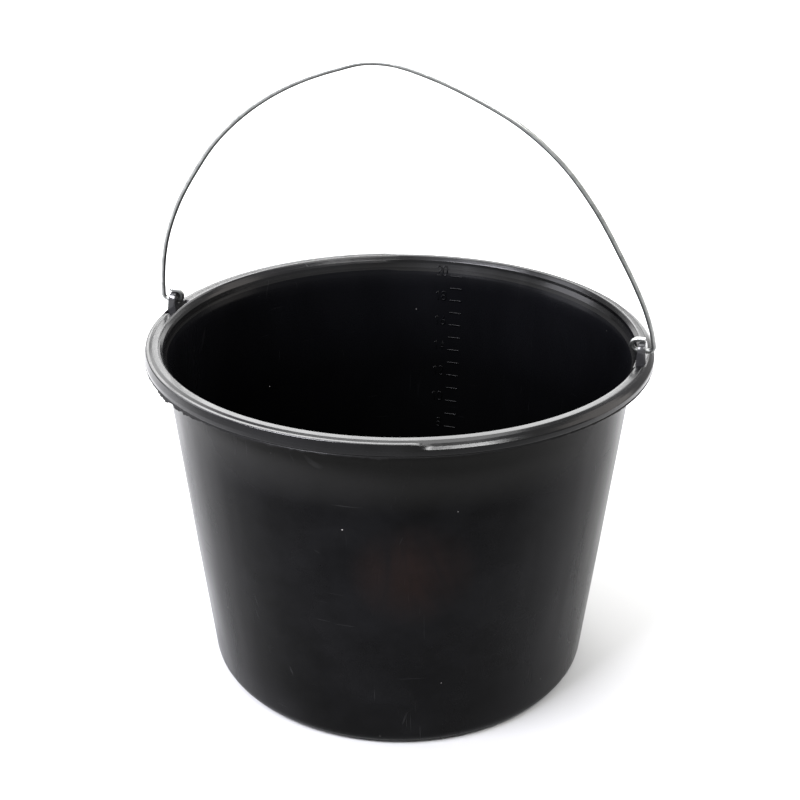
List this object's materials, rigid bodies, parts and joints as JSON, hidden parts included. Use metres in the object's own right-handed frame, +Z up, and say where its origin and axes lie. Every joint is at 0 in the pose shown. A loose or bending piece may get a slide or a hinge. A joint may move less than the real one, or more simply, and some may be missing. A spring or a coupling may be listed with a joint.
{
  "type": "florist bucket",
  "caption": "Round tapered black plastic flower bucket with a rolled rim, litre marks inside and a swinging galvanised wire bail.",
  "frame": {"origin": "middle of the foot ring's plane under the tub, on the surface it stands on", "axes": "+Z up along the tub's axis; the two ears stand on +X and -X and the bail turns about X; the litre scale is inside on the +Y side"},
  "size_m": [0.3852, 0.3792, 0.4756],
  "materials": {
    "black_plastic": "semi-gloss moulded polypropylene, scuffed",
    "galvanised_wire": "dull galvanised wire"
  },
  "bodies": {
    "tub": {"bucket_body": "black_plastic"},
    "bail": {"wire_bail": "galvanised_wire"}
  },
  "joints": [
    {"name": "bail_swing", "type": "hinge", "parent": "tub", "child": "bail", "pos_m": [0, 0, 0.2725], "axis": [1, 0, 0], "range_deg": [-106.5, 76.5]}
  ]
}
